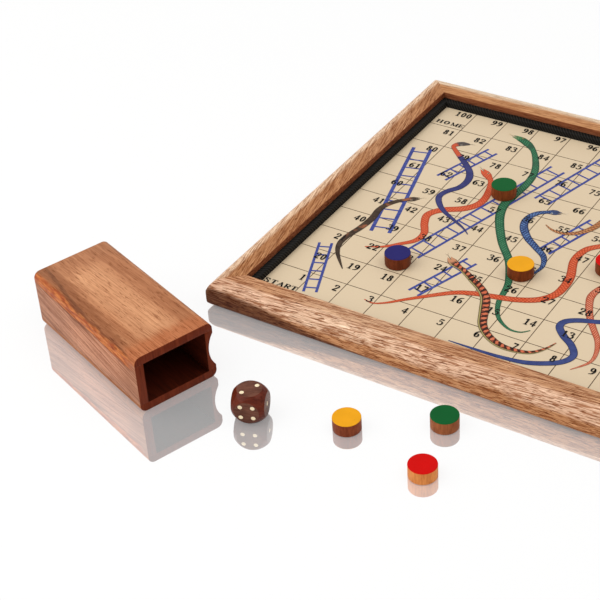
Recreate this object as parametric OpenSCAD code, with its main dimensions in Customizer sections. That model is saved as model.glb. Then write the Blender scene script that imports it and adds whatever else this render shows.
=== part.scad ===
// Snakes and ladders board: a mitred wooden tray frame round a printed panel,
// with painted counters, a die and a wooden dice cup beside it.
// Millimetres. The origin is the centre of the underside, +Z is up, and the
// front rail, the one nearest the first row, lies towards -Y.

/* [Playing sheet] */
// Side of one numbered square
cell = 25; // [20:0.5:32]
// Squares along each side
cells = 10; // [8:1:12]
// Thickness of the printed sheet
sheet_t = 0.3; // [0.2:0.05:0.6]
// Thickness of the board under the sheet
play_t = 4.2; // [3:0.1:6]
// Thickness of one layer of print
ink_t = 0.05; // [0.04:0.01:0.08]
// Width of a grid line
line_w = 0.55; // [0.3:0.05:0.8]
// Strip of sheet left over before the first row and beside the last column
sheet_margin = 2; // [0.5:0.25:4]

/* [Frame] */
// Width of a rail, seen from above
rail_w = 19.5; // [18:0.5:26]
// Height of a rail
rail_h = 19.5; // [17:0.5:22]
// Drop from the crest of a rail to its inner edge
rail_drop = 1; // [0.4:0.1:2]
// Radius of the outer corners, seen from above
corner_r = 1; // [0.5:0.5:6]
// Radius of a rail's outer bottom edge
foot_r = 5; // [2:0.5:8]
// Width of the rebate under a rail
rebate_w = 6; // [5:0.5:7]

/* [Lining] */
// Width of the black strip round the sheet
lining_w = 4.5; // [3:0.25:6]
// Height of the black strip
lining_h = 5; // [3.5:0.25:6]

/* [Base] */
// Thickness of the base board
base_t = 5; // [4:0.25:6]
// Gap round a board that drops into a rebate
board_gap = 0.3; // [0.1:0.05:0.4]
// Panel pins along each side
pins_per_side = 3; // [2:1:5]
// Diameter of a pin
pin_d = 1.2; // [1:0.1:1.6]
// Length of a pin
pin_l = 12; // [9:0.5:13]
// Diameter of a pin's head
pin_head_d = 2.4; // [2:0.1:3]
// Thickness of a pin's head
pin_head_t = 0.6; // [0.4:0.1:1]

/* [Corner keys] */
// Length of a key across its mitre
key_l = 12; // [8:0.5:13]
// Width of a key along its mitre
key_w = 9; // [6:0.5:10]
// Thickness of a key
key_t = 2; // [1.5:0.1:3]

/* [Printed ladders] */
// Width of a ladder's side rail
ladder_rail_w = 1.8; // [1:0.1:2.4]
// Width of the side rail of the bold ladder
bold_rail_w = 2.6; // [1.6:0.1:3.2]
// Width of a rung
rung_w = 1.3; // [0.6:0.1:1.8]

/* [Counters] */
// Diameter of a counter
counter_d = 17; // [14:0.5:20]
// Height of a counter
counter_h = 8.5; // [6:0.5:12]
// Rounding of a counter's rims
counter_edge = 0.5; // [0.2:0.1:1]
// Thickness of the paint on its top
paint_t = 0.3; // [0.1:0.05:0.5]

/* [Die] */
// Side of the die
die_side = 20; // [16:0.5:24]
// Diameter of a pip
pip_d = 2.8; // [2:0.1:3]
// Depth of a pip
pip_depth = 1; // [0.6:0.1:1.5]

/* [Dice cup] */
// Length of the cup, from its mouth to its closed end
cup_l = 116; // [90:1:130]
// Width of the cup
cup_w = 54.5; // [48:0.5:60]
// Height of the cup as it lies
cup_h = 40; // [36:0.5:46]
// Thickness of its four walls
cup_wall = 5.7; // [5:0.1:7]
// Thickness of its closed end
cup_end_t = 6; // [4:0.5:8]
// Rounding of its long edges
cup_edge_r = 4.5; // [2:0.25:4.75]
// Height of the finger groove in its far side
groove_h = 24; // [16:1:24]
// Depth of the finger groove
groove_depth = 3.8; // [1:0.1:4]

/* [Places on the table] */
// Cup's mouth, from the frame's left end
cup_along = 36.5; // [20:0.5:50]
// Cup's mouth, from the frame's front
cup_ahead = 79; // [75:0.5:110]
// Die, from the frame's left end
die_along = 85; // [84:0.5:110]
// Die, from the frame's front
die_ahead = 74.5; // [50:0.5:90]
// Spare yellow counter, from the frame's left end
yellow_along = 139.5; // [136:0.5:150]
// Spare yellow counter, from the frame's front
yellow_ahead = 57.5; // [40:0.5:80]
// Spare green counter, from the frame's left end
green_along = 187.5; // [180:0.5:195]
// Spare green counter, from the frame's front
green_ahead = 29; // [20:0.5:40]
// Spare red counter, from the frame's left end
red_along = 196.5; // [190:0.5:210]
// Spare red counter, from the frame's front
red_ahead = 71; // [66:0.5:90]

/* [Hidden] */
$fn = 96;

// Overrun that carries a cut past the face it opens
overrun = 1;
// Gap round a key or a pin in its seat, and round an inlaid pip
seat_gap = 0.05;

// Sizes of the tray, worked outwards from the sheet
sheet_w = cell * cells + sheet_margin;
opening_w = sheet_w + 2 * lining_w;
outer_w = opening_w + 2 * rail_w;
board_top = base_t + play_t;
sheet_top = board_top + sheet_t;

// The print lies in layers, from the grid up to the last snakes
ladders_z = sheet_top + ink_t;
green_z = ladders_z + ink_t;
red_z = green_z + ink_t;
last_z = red_z + ink_t;
seat_z = last_z + ink_t;

// A rail's round outer side
bull_r = rail_h / 2;
bull_u = rail_w - bull_r;
inner_top = rail_h - rail_drop;

// Pins stand along the middle of the rebate, at these shares of the opening
pin_u = opening_w / 2 + rebate_w / 2;
pin_spread_share = 0.36;

// Colours
wood = [0.72, 0.52, 0.36];
wood_dark = [0.60, 0.38, 0.24];
cup_wood = [0.62, 0.36, 0.20];
cup_orange = [0.70, 0.40, 0.20];
ply = [0.70, 0.56, 0.40];
black = [0.07, 0.07, 0.07];
paper = [0.87, 0.79, 0.63];
ink_black = [0.10, 0.10, 0.10];
ink_blue = [0.20, 0.30, 0.62];
ink_green = [0.12, 0.48, 0.34];
ink_red = [0.88, 0.32, 0.18];
ink_brown = [0.40, 0.28, 0.22];
steel = [0.62, 0.62, 0.64];
cream = [0.90, 0.85, 0.68];
die_wood = [0.30, 0.12, 0.08];

// Counters on the sheet, in shares of a cell from its front left corner
green_shares = [3.64, 6.51];
blue_shares = [2.69, 2.39];
yellow_shares = [5.67, 3.41];
red_shares = [7.55, 4.57];

// Ladders, in shares of a cell: foot, head, spread, then the number of rungs
ladder_shares = [
    [[1.34, 0.28], [0.55, 2.32], 0.33, 6],
    [[1.72, 6.5], [2.35, 8.38], 0.33, 6],
    [[2.8, 2.9], [4.38, 8.34], 0.46, 13],
    [[4.67, 6.68], [5.5, 9.6], 0.46, 8],
    [[5.75, 4.6], [6.36, 6.42], 0.33, 6],
    [[3.66, 1.46], [4.32, 3.36], 0.33, 6],
    [[9.35, 5.2], [8.85, 7.4], 0.36, 7]
];
bold_ladder_shares = [[1.56, 3.42], [0.5, 7.63], 0.5, 10];

// Snakes, in shares of a cell: widest girth, then the route from the head
green_snake_shares = [
    [0.26, [[2.47, 9.4], [2.85, 9.3], [3.3, 8.98], [3.65, 8.45], [3.88, 7.89],
            [3.95, 7.3], [3.9, 6.6], [3.87, 6.05], [4.08, 5.39], [4.6, 4.5],
            [5.15, 3.8], [5.5, 3.1], [5.62, 2.7], [5.72, 2.1], [5.97, 1.58],
            [6.37, 1.28], [6.7, 1.27], [6.9, 1.45]]]
];
red_snakes_shares = [
    [0.25, [[2.5, 7.42], [2.8, 7.18], [3.02, 6.95], [3.17, 6.58], [3.27, 6.12],
            [3.22, 5.72], [2.96, 5.39], [2.5, 5.08], [2.28, 4.72], [2.4, 4.32],
            [2.62, 3.9], [2.58, 3.5], [2.3, 3.18], [1.97, 2.86], [1.55, 2.65]]],
    [0.24, [[8.2, 6.9], [7.7, 6.5], [7.4, 5.95], [6.95, 5.5], [6.66, 5.15],
            [6.6, 4.6], [6.8, 3.95], [6.86, 3.49], [6.8, 3.03], [6.53, 2.66],
            [6.04, 2.4], [5.45, 2.25], [4.99, 2.14], [4.5, 1.9], [3.68, 1.18],
            [3.29, 0.8], [2.99, 0.62], [2.72, 0.66]]],
    [0.2, [[8.7, 5.1], [8.3, 4.9], [8, 4.4], [7.7, 3.85], [7.61, 3.42],
           [7.72, 3.03], [7.95, 2.57], [8.21, 2.2], [8.47, 1.84], [8.64, 1.38],
           [8.64, 0.98], [8.36, 0.55]]]
];
blue_snakes_shares = [
    [0.21, [[1.61, 8.42], [1.36, 8.33], [1.24, 8.15], [1.36, 7.98],
            [1.97, 7.45], [2.3, 7.08], [2.44, 6.7], [2.4, 6.3], [2.2, 5.98],
            [2.12, 5.66], [2.3, 5.33], [2.65, 5.02], [3.36, 4.62],
            [3.66, 4.38]]],
    [0.23, [[5.42, 6.4], [5.12, 6.32], [4.84, 6.12], [4.71, 5.79],
            [4.79, 5.39], [5.1, 4.97], [5.48, 4.67], [5.84, 4.38], [6, 4],
            [5.96, 3.65], [5.85, 3.4]]],
    [0.2, [[9.2, 3.5], [9, 2.98], [8.74, 2.83], [8.21, 2.53], [7.78, 2.37],
           [7.49, 2.17], [7.45, 1.92], [7.68, 1.64], [8.01, 1.38], [8.21, 1.05],
           [8.08, 0.72], [7.72, 0.46], [7.29, 0.28], [6.83, 0.21], [6.3, 0.18],
           [5.35, 0.18]]]
];
brown_snakes_shares = [
    [0.21, [[1.72, 5.32], [1.3, 4.98], [1.07, 4.65], [1, 4.3], [1.05, 3.88],
            [1, 3.36], [0.89, 2.83], [0.9, 2.43], [1.09, 2.04], [1.55, 1.52]]],
    [0.22, [[7.8, 8.1], [7.3, 7.75], [6.85, 7.3], [6.58, 6.75], [6.46, 6.28],
            [6.33, 5.97], [6.1, 5.7], [5.81, 5.56], [5.5, 5.59], [5.26, 5.73]]],
    [0.26, [[3.72, 3.25], [3.98, 3.05], [4.35, 2.88], [4.75, 2.62],
            [5.1, 2.38], [5.36, 2.08], [5.56, 1.62], [5.78, 1.12], [6.1, 0.79],
            [6.5, 0.6], [6.9, 0.58], [7.28, 0.69], [7.52, 0.98], [7.65, 1.3]]]
];

// A snake's girth along its length, as shares of its widest girth
girth_shares = [[0, 0.35], [0.03, 0.95], [0.06, 1], [0.1, 0.6], [0.2, 0.8],
                [0.4, 1], [0.7, 0.8], [0.9, 0.4], [1, 0.12]];
// Points along each stretch of a route
route_steps = 5;

// A point of the sheet, given in cells, in the board's own frame
function on_sheet(shares) =
    [shares[0] * cell - sheet_w / 2,
     shares[1] * cell - sheet_w / 2 + sheet_margin];

// A point of a smooth curve that passes through b and c
function curve_point(a, b, c, d, t) =
    b + ((c - a) * t + (2 * a - 5 * b + 4 * c - d) * t * t
         + (3 * b - a - 3 * c + d) * t * t * t) / 2;

// The smooth route through a list of points
function smooth_route(p) = let (last = len(p) - 1) concat(
    [for (i = [0:last - 1], k = [0:route_steps - 1])
        curve_point(p[max(i - 1, 0)], p[i], p[i + 1], p[min(i + 2, last)],
                    k / route_steps)],
    [p[last]]);

// The unit direction of a route at point i, and the normal to its left
function route_dir(r, i) =
    let (d = r[min(i + 1, len(r) - 1)] - r[max(i - 1, 0)]) d / norm(d);
function left_of(d) = [-d[1], d[0]];

// One side of a snake's outline, on the left for 1 and the right for -1
function snake_side(r, girth, side) =
    [for (i = [0:len(r) - 1])
        r[i] + left_of(route_dir(r, i)) * side * girth / 2
               * lookup(i / (len(r) - 1), girth_shares)];

function backwards(p) = [for (i = [len(p) - 1:-1:0]) p[i]];

module snake_print(shares) {
    route = smooth_route([for (q = shares[1]) on_sheet(q)]);
    girth = shares[0] * cell;
    polygon(concat(snake_side(route, girth, 1),
                   backwards(snake_side(route, girth, -1))));
}

module snakes_print(table, z, tint) {
    color(tint) translate([0, 0, z]) linear_extrude(ink_t)
        for (shares = table) snake_print(shares);
}

// A ladder, drawn from its foot along its own axis
module ladder_print(shares, side_w) {
    foot = on_sheet(shares[0]);
    run = on_sheet(shares[1]) - foot;
    spread = shares[2] * cell;
    rungs = shares[3];
    translate(foot) rotate(atan2(run[1], run[0])) {
        for (side = [-1, 1]) translate([0, side * spread / 2 - side_w / 2])
            square([norm(run), side_w]);
        for (i = [1:rungs])
            translate([(i - 0.5) * norm(run) / rungs - rung_w / 2, -spread / 2])
                square([rung_w, spread]);
    }
}

// A rail's section in two parts: u runs outwards from its inner face, and
// upright is z. The flat part's top ends where it meets the round tangentially.
module rail_flat_section() {
    to_edge = [-bull_u, inner_top - bull_r];
    turn = atan2(to_edge[1], to_edge[0]) - acos(bull_r / norm(to_edge));
    crest = [bull_u + bull_r * cos(turn), bull_r + bull_r * sin(turn)];
    polygon([[0, base_t], [0, inner_top], crest, [bull_u, bull_r],
             [bull_u, 0], [rebate_w, 0], [rebate_w, base_t]]);
}

module rail_round_section() {
    intersection() {
        translate([bull_u, bull_r]) circle(bull_r);
        translate([(rebate_w + bull_u) / 2, bull_r])
            square([rail_w, rail_h]);
    }
}

// Below the round, the side runs straight down to a smaller round at the foot
module rail_foot_section() {
    foot_u = rail_w - foot_r;
    difference() {
        polygon([[rebate_w, 0], [rail_w, 0], [rail_w, bull_r], [rebate_w, bull_r]]);
        difference() {
            translate([foot_u, -overrun])
                square([foot_r + overrun, foot_r + overrun]);
            translate([foot_u, foot_r]) circle(foot_r);
        }
    }
}

// The plan of the whole frame, with its rounded corners
module frame_plan() {
    straight = outer_w - 2 * corner_r;
    square([outer_w, straight], center = true);
    square([straight, outer_w], center = true);
    for (x = [-1, 1], y = [-1, 1])
        translate([x * straight / 2, y * straight / 2]) circle(corner_r);
}

// One side of the frame, cut at its mitres: turn 0 is the front
module mitred(turn) {
    reach = outer_w / 2 + overrun;
    rotate([0, 0, turn]) intersection() {
        children();
        translate([0, 0, -overrun]) linear_extrude(rail_h + 2 * overrun)
            polygon([[0, 0], [-reach, -reach], [reach, -reach]]);
    }
}

// Places of the pins of the front rail, from the middle
function pin_x(i) =
    (2 * i / (pins_per_side - 1) - 1) * pin_spread_share * opening_w;

module pins(gap) {
    for (turn = [0, 90, 180, 270], i = [0:pins_per_side - 1])
        rotate([0, 0, turn]) translate([pin_x(i), -pin_u, 0]) {
            cylinder(h = pin_l + gap, d = pin_d + 2 * gap);
            cylinder(h = pin_head_t + gap, d = pin_head_d + 2 * gap);
        }
}

module keys(gap) {
    size = [key_l + 2 * gap, key_w + 2 * gap, key_t + 2 * gap];
    middle = (opening_w + rail_w) / 2;
    for (turn = [0, 90, 180, 270])
        rotate([0, 0, turn]) translate([middle, middle, bull_r])
            rotate([0, 0, -45]) cube(size, center = true);
}

module rail(turn, tint) {
    color(tint) difference() {
        intersection() {
            mitred(turn) translate([0, -opening_w / 2, 0])
                rotate([90, 0, -90]) {
                    linear_extrude(outer_w, center = true) rail_flat_section();
                    linear_extrude(outer_w, center = true) rail_round_section();
                    linear_extrude(outer_w, center = true) rail_foot_section();
                }
            linear_extrude(rail_h) frame_plan();
        }
        keys(seat_gap);
        pins(seat_gap);
    }
}

module rail_front() rail(0, wood);
module rail_right() rail(90, wood);
module rail_back() rail(180, wood);
module rail_left() rail(270, wood_dark);

module corner_keys() color(ply) keys(0);

module base_board() {
    side = opening_w + 2 * (rebate_w - board_gap);
    color(ply) difference() {
        translate([-side / 2, -side / 2, 0]) cube([side, side, base_t]);
        pins(seat_gap);
    }
}

module base_pins() color(steel) pins(0);

module play_board() {
    side = opening_w - 2 * board_gap;
    color(ply) translate([-side / 2, -side / 2, base_t])
        cube([side, side, play_t]);
}

module printed_sheet() {
    color(paper) translate([-sheet_w / 2, -sheet_w / 2, board_top])
        cube([sheet_w, sheet_w, sheet_t]);
}

// The black strip stands on the play board against the frame's inner face
module lining(turn) {
    color(black) mitred(turn)
        translate([-opening_w / 2, -opening_w / 2, board_top])
            cube([opening_w, lining_w, lining_h]);
}

module lining_front() lining(0);
module lining_right() lining(90);
module lining_back() lining(180);
module lining_left() lining(270);

module ink_grid() {
    color(ink_black) translate([0, 0, sheet_top]) linear_extrude(ink_t)
        for (i = [1:cells - 1]) {
            translate([on_sheet([i, i])[0], 0])
                square([line_w, sheet_w], center = true);
            translate([0, on_sheet([i, i])[1]])
                square([sheet_w, line_w], center = true);
        }
}

module ink_ladders() {
    color(ink_blue) translate([0, 0, ladders_z]) linear_extrude(ink_t) {
        for (shares = ladder_shares) ladder_print(shares, ladder_rail_w);
        ladder_print(bold_ladder_shares, bold_rail_w);
    }
}

module ink_snake_green() snakes_print(green_snake_shares, green_z, ink_green);
module ink_snakes_red() snakes_print(red_snakes_shares, red_z, ink_red);
module ink_snakes_blue() snakes_print(blue_snakes_shares, last_z, ink_blue);
module ink_snakes_brown() snakes_print(brown_snakes_shares, last_z, ink_brown);

// A turned wooden disc with a painted top
module counter(place, tint) {
    r = counter_d / 2;
    full = counter_h - paint_t;
    translate(place) {
        color(cup_wood) rotate_extrude() polygon([
            [0, 0], [r - counter_edge, 0], [r, counter_edge], [r, full],
            [0, full]]);
        color(tint) translate([0, 0, full])
            cylinder(h = paint_t, r1 = r, r2 = r - paint_t);
    }
}

// A counter on the sheet, and one on the table in front of the frame
function on_board(shares) = let (p = on_sheet(shares)) [p[0], p[1], seat_z];
function on_table(along, ahead) =
    [along - outer_w / 2, -outer_w / 2 - ahead, 0];

module counter_green() counter(on_board(green_shares), [0.09, 0.42, 0.17]);
module counter_blue() counter(on_board(blue_shares), [0.16, 0.15, 0.45]);
module counter_yellow() counter(on_board(yellow_shares), [0.96, 0.68, 0.12]);
module counter_red() counter(on_board(red_shares), [0.85, 0.08, 0.06]);

module spare_yellow()
    counter(on_table(yellow_along, yellow_ahead), [0.96, 0.68, 0.12]);
module spare_green()
    counter(on_table(green_along, green_ahead), [0.09, 0.42, 0.17]);
module spare_red()
    counter(on_table(red_along, red_ahead), [0.85, 0.08, 0.06]);

// The die is a cube with its corners turned off by a ball
die_yaw = 20;
die_ball_share = 1.25;
pip_step_share = 0.185;

// Faces of the die, each with its turn and its number of pips
die_faces = [
    [[0, 0, 0], 2], [[180, 0, 0], 5], [[90, 0, 0], 4], [[-90, 0, 0], 3],
    [[0, 90, 0], 1], [[0, -90, 0], 6]
];

// Places of the pips on a face, in steps from its middle
function pip_places(n) = concat(
    n % 2 == 1 ? [[0, 0]] : [],
    n >= 2 ? [[-1, -1], [1, 1]] : [],
    n >= 4 ? [[-1, 1], [1, -1]] : [],
    n == 6 ? [[0, -1], [0, 1]] : []);

module pip_set(gap) {
    step = pip_step_share * die_side;
    for (face = die_faces) rotate(face[0])
        for (p = pip_places(face[1]))
            translate([p[0] * step, p[1] * step, die_side / 2 - pip_depth])
                cylinder(h = pip_depth + gap, d = pip_d + 2 * gap);
}

module on_die_place()
    translate(on_table(die_along, die_ahead) + [0, 0, die_side / 2])
        rotate([0, 0, die_yaw]) children();

module die_body() {
    color(die_wood) on_die_place() difference() {
        intersection() {
            cube(die_side, center = true);
            sphere(d = die_side * die_ball_share);
        }
        pip_set(seat_gap);
    }
}

module die_pips() color(cream) on_die_place() pip_set(0);

// The cup lies on its side, and is glued up from four boards and an end
cup_yaw = -20;

module on_cup_place() translate(on_table(cup_along, cup_ahead))
    rotate([0, 0, cup_yaw]) children();

// The cup's outline across its length, with the groove in its far side
module cup_section() {
    flat_w = cup_w - 2 * cup_edge_r;
    flat_h = cup_h - 2 * cup_edge_r;
    groove_r = (groove_h * groove_h / 4 + groove_depth * groove_depth)
               / (2 * groove_depth);
    difference() {
        translate([0, cup_h / 2]) {
            square([cup_w, flat_h], center = true);
            square([flat_w, cup_h], center = true);
            for (y = [-1, 1], z = [-1, 1])
                translate([y * flat_w / 2, z * flat_h / 2])
                    circle(cup_edge_r);
        }
        translate([cup_w / 2 - groove_depth + groove_r, cup_h / 2])
            circle(groove_r);
    }
}

// The part of the cup between two widths and two heights, along its length
module cup_slab(y0, y1, z0, z1) {
    color(cup_wood) on_cup_place() rotate([90, 0, 90]) mirror([0, 0, 1])
        linear_extrude(cup_l) intersection() {
            cup_section();
            translate([y0, z0]) square([y1 - y0, z1 - z0]);
        }
}

module cup_top() cup_slab(-cup_w / 2, cup_w / 2, cup_h - cup_wall, cup_h);
module cup_bottom() cup_slab(-cup_w / 2, cup_w / 2, 0, cup_wall);
module cup_side_near()
    cup_slab(-cup_w / 2, cup_wall - cup_w / 2, cup_wall, cup_h - cup_wall);
module cup_side_far()
    cup_slab(cup_w / 2 - cup_wall, cup_w / 2, cup_wall, cup_h - cup_wall);

module cup_end() {
    size = [cup_end_t, cup_w - 2 * cup_wall, cup_h - 2 * cup_wall];
    color(cup_orange) on_cup_place()
        translate([-cup_l, -size[1] / 2, cup_wall]) cube(size);
}

rail_front();
rail_right();
rail_back();
rail_left();
corner_keys();
base_board();
base_pins();
play_board();
printed_sheet();
lining_front();
lining_right();
lining_back();
lining_left();
ink_grid();
ink_ladders();
ink_snake_green();
ink_snakes_red();
ink_snakes_blue();
ink_snakes_brown();
counter_green();
counter_blue();
counter_yellow();
counter_red();
spare_yellow();
spare_green();
spare_red();
die_body();
die_pips();
cup_top();
cup_bottom();
cup_side_near();
cup_side_far();
cup_end();
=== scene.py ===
import math

import bmesh
import bpy
from mathutils import Matrix, Vector


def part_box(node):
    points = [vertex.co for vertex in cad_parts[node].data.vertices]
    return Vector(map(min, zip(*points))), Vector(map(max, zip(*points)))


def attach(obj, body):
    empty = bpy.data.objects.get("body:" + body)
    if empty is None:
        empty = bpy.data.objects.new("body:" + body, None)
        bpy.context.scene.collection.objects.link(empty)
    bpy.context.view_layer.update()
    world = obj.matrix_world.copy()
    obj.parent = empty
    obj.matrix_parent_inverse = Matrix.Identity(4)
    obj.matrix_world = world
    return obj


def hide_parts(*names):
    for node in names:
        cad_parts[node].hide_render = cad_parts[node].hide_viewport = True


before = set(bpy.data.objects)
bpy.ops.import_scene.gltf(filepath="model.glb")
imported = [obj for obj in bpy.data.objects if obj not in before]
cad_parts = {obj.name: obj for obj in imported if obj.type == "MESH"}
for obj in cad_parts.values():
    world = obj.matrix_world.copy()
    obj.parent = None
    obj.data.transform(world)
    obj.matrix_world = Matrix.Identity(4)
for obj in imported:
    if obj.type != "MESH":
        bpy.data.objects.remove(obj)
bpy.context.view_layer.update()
mm = 0.001
hair = 0.01 * mm   # points this near to a plane count as on it
weld = 0.005 * mm  # points this near to each other become one
zero = (0, 0, 0)
white = (1, 1, 1)
sideNames = ("front", "right", "back", "left")   # each a quarter turn further round


def stage(words):
    print("snakes and ladders board:", words)


# Small helpers for modelling by hand

def deselect():
    bpy.ops.object.select_all(action="DESELECT")


def only(thing):  # one object selected and active
    deselect()
    thing.select_set(True)
    bpy.context.view_layer.objects.active = thing


def edit(thing):
    only(thing)
    bpy.ops.object.mode_set(mode="EDIT")


def leaveEdit():
    bpy.ops.object.mode_set(mode="OBJECT")


def onAll(operator, **choices):  # an edit mode operator on the whole mesh
    bpy.ops.mesh.select_all(action="SELECT")
    operator(**choices)


def middle(part):  # middle of an edge or a face
    return sum((v.co for v in part.verts), Vector()) / len(part.verts)


def pick(kind, test):  # selects the vertices, edges or faces that pass a test
    bpy.ops.mesh.select_mode(type=kind)
    bpy.ops.mesh.select_all(action="DESELECT")
    data = bpy.context.edit_object.data
    cage = bmesh.from_edit_mesh(data)
    for part in {"VERT": cage.verts, "EDGE": cage.edges, "FACE": cage.faces}[kind]:
        part.select_set(bool(test(part)))
    cage.select_flush_mode()
    bmesh.update_edit_mesh(data)


def runsAlongX(edge, least):
    return abs(edge.verts[0].co.x - edge.verts[1].co.x) > least


def renamed(thing, name):
    thing.name = name
    thing.data.name = name
    return thing


def settled(name):  # a new object, with its place put into its mesh
    bpy.ops.object.transform_apply(location=True, rotation=True, scale=True)
    return renamed(bpy.context.object, name)


def addCube(name, low, high):
    deselect()
    bpy.ops.mesh.primitive_cube_add(size=1, location=(low + high) / 2, scale=high - low)
    return settled(name)


def addCylinder(name, radius, depth, centre, steps, turn=zero):
    deselect()
    bpy.ops.mesh.primitive_cylinder_add(vertices=steps, radius=radius, depth=depth,
                                        location=centre, rotation=turn)
    return settled(name)


def bentGrid(name, columns, rows, place):  # a grid, each point with its place and its UV
    deselect()
    bpy.ops.mesh.primitive_grid_add(x_subdivisions=columns, y_subdivisions=rows, size=2)
    grid = renamed(bpy.context.object, name)
    marks = {}
    for vertex in grid.data.vertices:
        vertex.co, marks[vertex.index] = place(vertex.co.x, vertex.co.y)
    layer = grid.data.uv_layers.active.data
    for loop in grid.data.loops:
        layer[loop.index].uv = marks[loop.vertex_index]
    return grid


def applied(thing, kind, **settings):  # adds a modifier and applies it
    only(thing)
    added = thing.modifiers.new(kind.title(), kind)
    for key, value in settings.items():
        setattr(added, key, value)
    bpy.ops.object.modifier_apply(modifier=added.name)


def eased(thing, width, segments, angle):  # rounds the edges that are sharper than the angle
    applied(thing, "BEVEL", width=width, segments=segments, limit_method="ANGLE",
            angle_limit=math.radians(angle))


def cutWith(thing, tool, operation):
    applied(thing, "BOOLEAN", object=tool, operation=operation, solver="EXACT")
    bpy.data.objects.remove(tool)


def copied(thing, name, matrix):  # a copy with its own mesh, put in place in that mesh
    made = thing.copy()
    made.data = thing.data.copy()
    bpy.context.scene.collection.objects.link(made)
    made.data.transform(matrix)
    return renamed(made, name)


def joined(things, name):
    only(things[0])
    for thing in things:
        thing.select_set(True)
    bpy.ops.object.join()
    return renamed(bpy.context.object, name)


def softened(thing, angle=30):
    only(thing)
    bpy.ops.object.shade_smooth_by_angle(angle=math.radians(angle))


def dressed(thing, *materials):
    thing.data.materials.clear()
    for material in materials:
        thing.data.materials.append(material)
    return thing


def finished(thing, body, slot, *nodes):  # last step of every new piece
    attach(thing, body)
    if nodes:
        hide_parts(*nodes)


def quarter(count):
    return Matrix.Rotation(count * math.pi / 2, 4, "Z")


def turnedAbout(angle, place):
    return Matrix.Translation(place) @ Matrix.Rotation(angle, 4, "Z")


# Shader maths, written as sums on sockets

class Wire:  # one output socket
    def __init__(self, nodes, socket):
        self.nodes = nodes
        self.socket = socket

    def maths(self, operation, *values):
        return self.nodes.node("ShaderNodeMath", {"operation": operation},
                               dict(enumerate(values)))

    def __add__(self, other):
        return self.maths("ADD", self, other)

    def __radd__(self, other):
        return self.maths("ADD", other, self)

    def __sub__(self, other):
        return self.maths("SUBTRACT", self, other)

    def __rsub__(self, other):
        return self.maths("SUBTRACT", other, self)

    def __mul__(self, other):
        return self.maths("MULTIPLY", self, other)

    def __rmul__(self, other):
        return self.maths("MULTIPLY", other, self)

    def __truediv__(self, other):
        return self.maths("DIVIDE", self, other)

    def size(self):  # without its sign
        return self.maths("ABSOLUTE", self)

    def beat(self):  # 0 in the middle of every whole step, 0.5 between two steps
        return (self.maths("FRACT", self) - 0.5).size()

    def rise(self, low, high, least=0.0, most=1.0):
        return self.nodes.node("ShaderNodeMapRange", {"interpolation_type": "SMOOTHSTEP"},
                               {"Value": self, "From Min": low, "From Max": high,
                                "To Min": least, "To Max": most})

    def fall(self, low, high):
        return 1 - self.rise(low, high)

    def parts(self):  # x, y and z of a vector
        split = self.nodes.node("ShaderNodeSeparateXYZ", None, {"Vector": self})
        return [Wire(self.nodes, socket) for socket in split.socket.node.outputs]


class Nodes:  # the nodes of a material or of the world
    def __init__(self, owner):
        owner.use_nodes = True
        self.tree = owner.node_tree

    def give(self, socket, value):
        if isinstance(value, Wire):
            self.tree.links.new(value.socket, socket)
        elif socket.type == "RGBA":
            socket.default_value = (*value, 1)
        else:
            socket.default_value = value

    def node(self, kind, settings=None, sockets=None, output=0):
        made = self.tree.nodes.new(kind)
        for key, value in (settings or {}).items():
            setattr(made, key, value)
        for key, value in (sockets or {}).items():
            self.give(made.inputs[key], value)
        return Wire(self, made.outputs[output])

    def mixed(self, share, first, second):  # two shaders
        return self.node("ShaderNodeMixShader", None, {0: share, 1: first, 2: second})

    def show(self, shader, output):
        self.give(self.tree.nodes[output].inputs["Surface"], shader)


class Finish(Nodes):  # one material, whose colour is laid on in layers
    def __init__(self, name, colour, roughness, coat=0.0, shine=0.2):
        self.material = bpy.data.materials.new(name)
        super().__init__(self.material)
        self.shader = self.tree.nodes["Principled BSDF"]
        self.colour = colour
        self.set("Base Color", colour)
        self.set("Roughness", roughness)
        self.set("Coat Weight", coat)
        self.set("Coat Roughness", 0.12)
        self.set("Specular IOR Level", shine)

    def set(self, socket, value):
        self.give(self.shader.inputs[socket], value)

    def blend(self, share, first, second, way="MIX"):
        return self.node("ShaderNodeMix", {"data_type": "RGBA", "blend_type": way},
                         {0: share, 6: first, 7: second}, 2)

    def lay(self, share, tint, way="MIX"):  # one more layer over the colour so far
        self.colour = self.blend(share, self.colour, tint, way)
        self.set("Base Color", self.colour)

    def place(self, size=1, shift=zero, turn=zero):  # counted in a size along and across a grain
        along, across = size if isinstance(size, tuple) else (size, size)
        return self.node("ShaderNodeMapping", {"vector_type": "TEXTURE"},
                         {"Vector": self.node("ShaderNodeTexCoord", output="Object"),
                          "Location": shift, "Rotation": turn,
                          "Scale": (along * mm, across * mm, across * mm)})

    def cloud(self, size, detail=3, shift=zero, turn=zero, rough=0.5, warp=0.0):
        return self.node("ShaderNodeTexNoise", None,
                         {"Vector": self.place(size, shift, turn), "Scale": 1, "Detail": detail,
                          "Roughness": rough, "Distortion": warp})

    def relief(self, height, strength, distance):
        self.set("Normal", self.node("ShaderNodeBump", None,
                                     {"Height": height, "Strength": strength,
                                      "Distance": distance}))


# Wood: long bands, wavy growth lines, dark dashes, short pores, fine fibres and pale flecks that
# are painted glints of sheen, each with its size in millimetres along and across the grain

plainWood = {"wave": 0.5, "roughness": 0.42, "coat": 0.0, "shine": 0.06, "bump": 0.3}

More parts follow.
